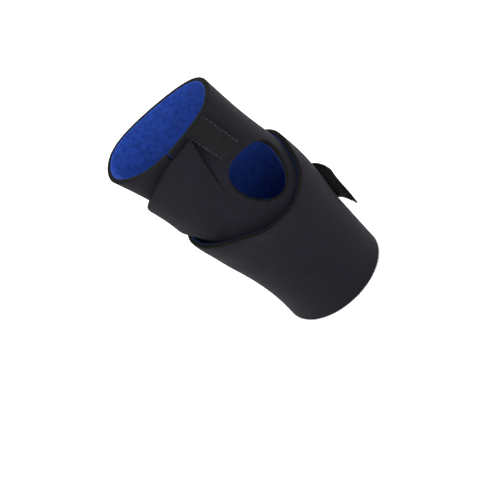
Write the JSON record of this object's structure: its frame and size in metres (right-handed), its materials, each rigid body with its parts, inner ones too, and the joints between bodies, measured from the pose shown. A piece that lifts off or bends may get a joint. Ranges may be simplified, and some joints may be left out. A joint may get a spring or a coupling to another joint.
{
  "type": "wrist support brace",
  "caption": "Neoprene wrist and hand brace for the right hand with a thumb opening, palm flap, wrist wrap and hook tab.",
  "frame": {"origin": "centre of the brace's footprint, on the plane of the cuff edge", "axes": "+Z from the wrist towards the fingers, +X to the thumb side, +Y to the back of the hand"},
  "size_m": [0.089, 0.0626, 0.1621],
  "materials": {
    "outer_jersey": "matte knitted nylon",
    "foam_core": "matte closed-cell foam",
    "blue_lining": "matte knitted nylon",
    "hook_tape": "hook tape",
    "webbing": "woven tape",
    "thread": "polyester thread"
  },
  "bodies": {
    "hand_sleeve": {"sleeve_lining": "blue_lining", "sleeve_foam": "foam_core", "sleeve_face": "outer_jersey", "web_strap": "webbing", "web_strap_stitching": "thread", "wrap_root_lining": "blue_lining", "wrap_root_foam": "foam_core", "wrap_root_face": "outer_jersey", "wrap_seam_stitching": "thread"},
    "palm_flap": {"palm_flap_lining": "blue_lining", "palm_flap_foam": "foam_core", "palm_flap_face": "outer_jersey", "palm_flap_hook": "hook_tape"},
    "wrap_palmar": {"wrap_palmar_lining": "blue_lining", "wrap_palmar_foam": "foam_core", "wrap_palmar_face": "outer_jersey"},
    "wrap_ulnar": {"wrap_ulnar_lining": "blue_lining", "wrap_ulnar_foam": "foam_core", "wrap_ulnar_face": "outer_jersey"},
    "wrap_dorsal": {"wrap_dorsal_lining": "blue_lining", "wrap_dorsal_foam": "foam_core", "wrap_dorsal_face": "outer_jersey", "tab_anchor": "webbing", "tab_stitching": "thread"},
    "hook_tab": {"tab_tape": "webbing", "tab_hook": "hook_tape"}
  },
  "joints": [
    {"name": "flap_open", "type": "hinge", "parent": "hand_sleeve", "child": "palm_flap", "pos_m": [-0.00921, -0.02567, 0.12575], "axis": [0.5924, -0.0095, 0.8056], "range_deg": [0, 70]},
    {"name": "wrap_open_palmar", "type": "hinge", "parent": "hand_sleeve", "child": "wrap_palmar", "pos_m": [0.01676, -0.02666, 0.04034], "axis": [0.0898, 0.0256, 0.9956], "range_deg": [0, 30]},
    {"name": "wrap_open_ulnar", "type": "hinge", "parent": "wrap_palmar", "child": "wrap_ulnar", "pos_m": [-0.02914, -0.023, 0.04601], "axis": [-0.0079, 0.0113, 0.9999], "range_deg": [0, 60]},
    {"name": "wrap_open", "type": "hinge", "parent": "wrap_ulnar", "child": "wrap_dorsal", "pos_m": [-0.03172, 0.02018, 0.0485], "axis": [-0.0084, -0.0094, 0.9999], "range_deg": [0, 60]},
    {"name": "tab_lift", "type": "hinge", "parent": "wrap_dorsal", "child": "hook_tab", "pos_m": [0.00111, 0.0301, 0.05002], "axis": [0.0219, -0.053, 0.9984], "range_deg": [0, 60]}
  ],
  "couplings": [
    {"joint": "wrap_open_palmar", "follows": "wrap_open", "ratio": 0.5},
    {"joint": "wrap_open_ulnar", "follows": "wrap_open", "ratio": 1}
  ]
}
